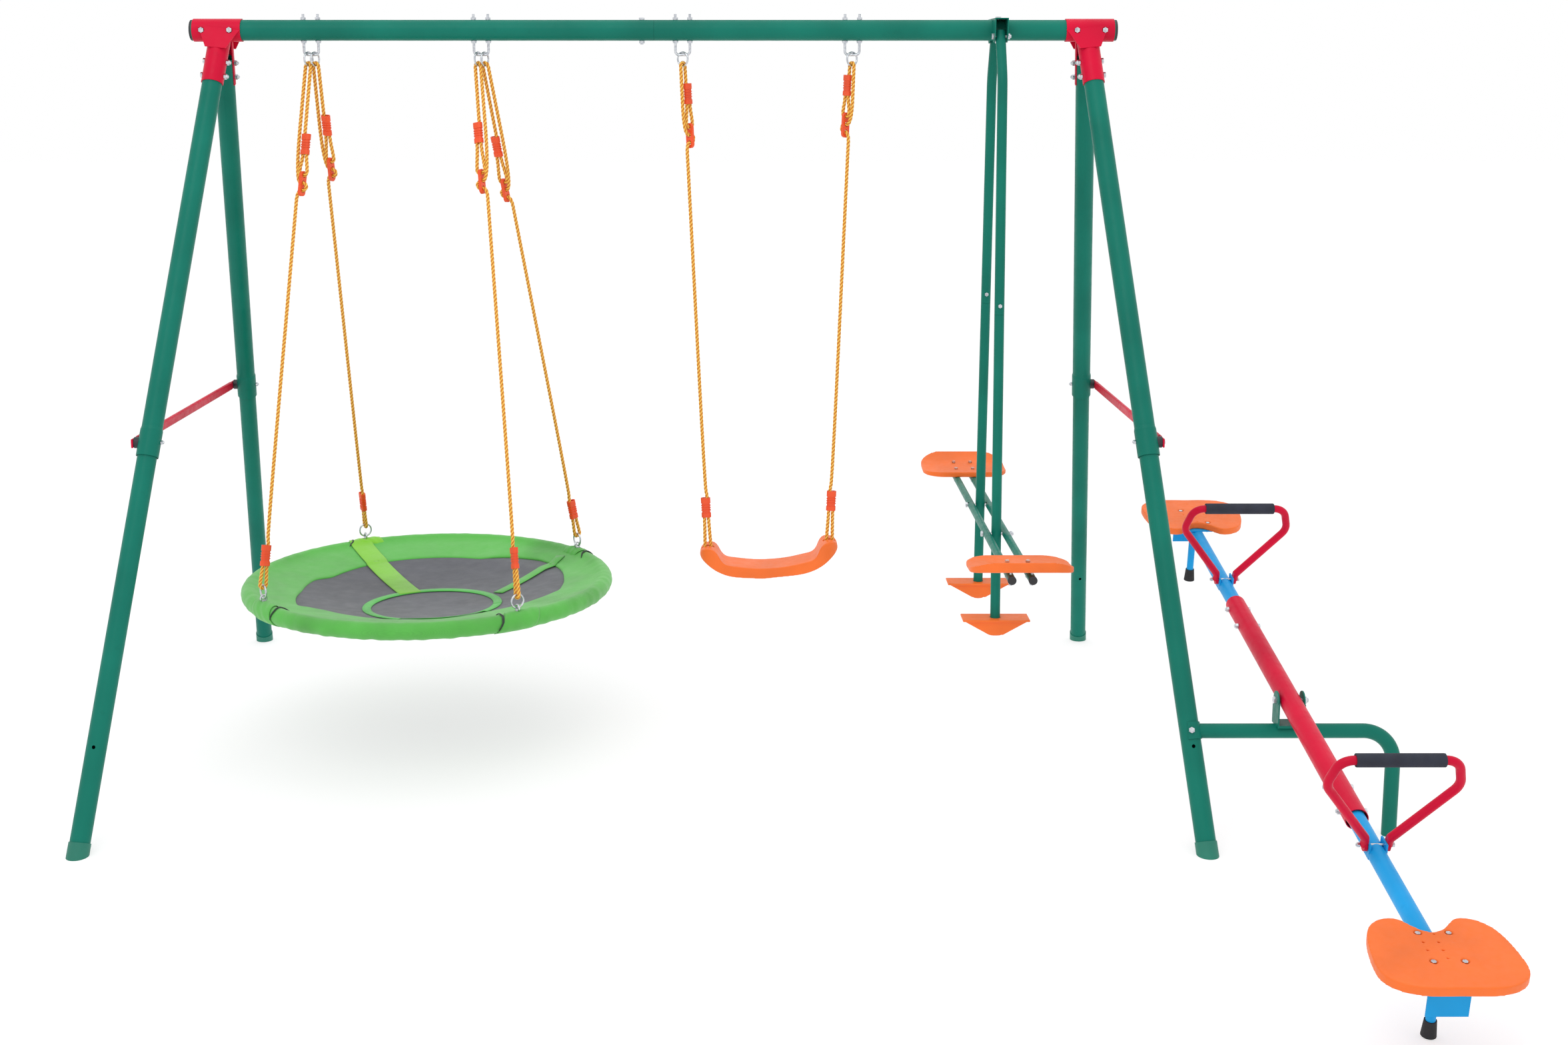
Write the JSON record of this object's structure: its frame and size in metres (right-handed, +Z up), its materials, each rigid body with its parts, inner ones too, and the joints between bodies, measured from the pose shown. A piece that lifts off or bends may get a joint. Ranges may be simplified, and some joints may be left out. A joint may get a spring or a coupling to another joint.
{
  "type": "swing set",
  "caption": "Garden swing set: two A-frames under one beam with a round nest swing, a belt swing, a two-seat glider and a side seesaw.",
  "frame": {"origin": "on the ground, at the middle of the whole set's footprint", "axes": "+Z up, +X along the top beam toward the seesaw, -Y toward the front of the set"},
  "size_m": [3.1424, 2.8009, 1.957],
  "materials": {
    "green_paint": "powder coated, semi-gloss",
    "crimson_paint": "powder coated, semi-gloss",
    "blue_paint": "powder coated, semi-gloss",
    "zinc": "bright zinc plated",
    "black_plastic": "moulded, fine grain",
    "green_plastic": "moulded, fine grain",
    "orange_plastic": "moulded, satin gloss",
    "orange_red_plastic": "moulded, satin gloss",
    "rope": "twisted three-strand fibre",
    "green_fabric": "woven, coated",
    "grey_fabric": "woven mesh",
    "foam": "closed-cell foam, matte",
    "rubber": "matte"
  },
  "bodies": {
    "frame": {"beam_end_caps": "black_plastic", "beam_left": "green_paint", "beam_right": "green_paint", "brace_left": "crimson_paint", "brace_right": "crimson_paint", "brace_spacers": "black_plastic", "corner_bolts": "zinc", "corner_bracket_front_left": "crimson_paint", "corner_bracket_front_right": "crimson_paint", "corner_bracket_rear_left": "crimson_paint", "corner_bracket_rear_right": "crimson_paint", "frame_bolts": "zinc", "fulcrum_bracket": "green_paint", "glider_bracket": "green_paint", "hanger_u_bolts": "zinc", "leg_feet": "green_plastic", "leg_lower_front_left": "green_paint", "leg_lower_front_right": "green_paint", "leg_lower_rear_left": "green_paint", "leg_lower_rear_right": "green_paint", "leg_upper_front_left": "green_paint", "leg_upper_front_right": "green_paint", "leg_upper_rear_left": "green_paint", "leg_upper_rear_right": "green_paint", "seesaw_support": "green_paint"},
    "nest": {"nest_eye_bolts": "zinc", "nest_hoop": "zinc", "nest_mat": "grey_fabric", "nest_rim_cover": "green_fabric", "nest_rings": "zinc", "nest_rope_adjusters": "orange_red_plastic", "nest_rope_front_left": "rope", "nest_rope_front_right": "rope", "nest_rope_rear_left": "rope", "nest_rope_rear_right": "rope", "nest_rope_sleeves": "orange_red_plastic"},
    "belt_swing": {"belt_rings": "zinc", "belt_rope_fittings": "orange_red_plastic", "belt_rope_left": "rope", "belt_rope_right": "rope", "belt_seat": "orange_plastic"},
    "front_hanger": {"glider_bolts_front": "zinc", "glider_footrest_front": "orange_plastic", "glider_hanger_lower_front": "green_paint", "glider_hanger_upper_front": "green_paint"},
    "rear_hanger": {"glider_bolts_rear": "zinc", "glider_footrest_rear": "orange_plastic", "glider_hanger_lower_rear": "green_paint", "glider_hanger_upper_rear": "green_paint"},
    "glider_frame": {"glider_bar_caps": "black_plastic", "glider_seat_bars": "green_paint", "glider_seat_bolts": "zinc", "glider_seats": "orange_plastic"},
    "seesaw": {"seesaw_arms": "blue_paint", "seesaw_bolts": "zinc", "seesaw_bumpers": "rubber", "seesaw_centre_tube": "crimson_paint", "seesaw_grips": "foam", "seesaw_handles": "crimson_paint", "seesaw_seats": "orange_plastic"}
  },
  "joints": [
    {"name": "nest_swing", "type": "hinge", "parent": "frame", "child": "nest", "pos_m": [-0.907, 0.495, 1.8515], "axis": [1, 0, 0], "range_deg": [-40, 40]},
    {"name": "belt_swing", "type": "hinge", "parent": "frame", "child": "belt_swing", "pos_m": [0.0675, 0.495, 1.8515], "axis": [1, 0, 0], "range_deg": [-45, 45]},
    {"name": "glider_front", "type": "hinge", "parent": "frame", "child": "front_hanger", "pos_m": [0.673, 0.443, 1.898], "axis": [1, 0, 0], "range_deg": [-18, 18]},
    {"name": "glider_rear", "type": "hinge", "parent": "frame", "child": "rear_hanger", "pos_m": [0.673, 0.547, 1.898], "axis": [1, 0, 0], "range_deg": [-18.5, 18.5]},
    {"name": "glider_seats", "type": "hinge", "parent": "front_hanger", "child": "glider_frame", "pos_m": [0.673, 0.32, 0.602], "axis": [1, 0, 0], "range_deg": [-6, 6]},
    {"name": "seesaw_tilt", "type": "hinge", "parent": "frame", "child": "seesaw", "pos_m": [1.298, -0.26, 0.336], "axis": [1, 0, 0], "range_deg": [-19.8, 0]}
  ],
  "couplings": [
    {"joint": "glider_rear", "follows": "glider_front", "ratio": 1},
    {"joint": "glider_seats", "follows": "glider_front", "ratio": -0.2955}
  ]
}
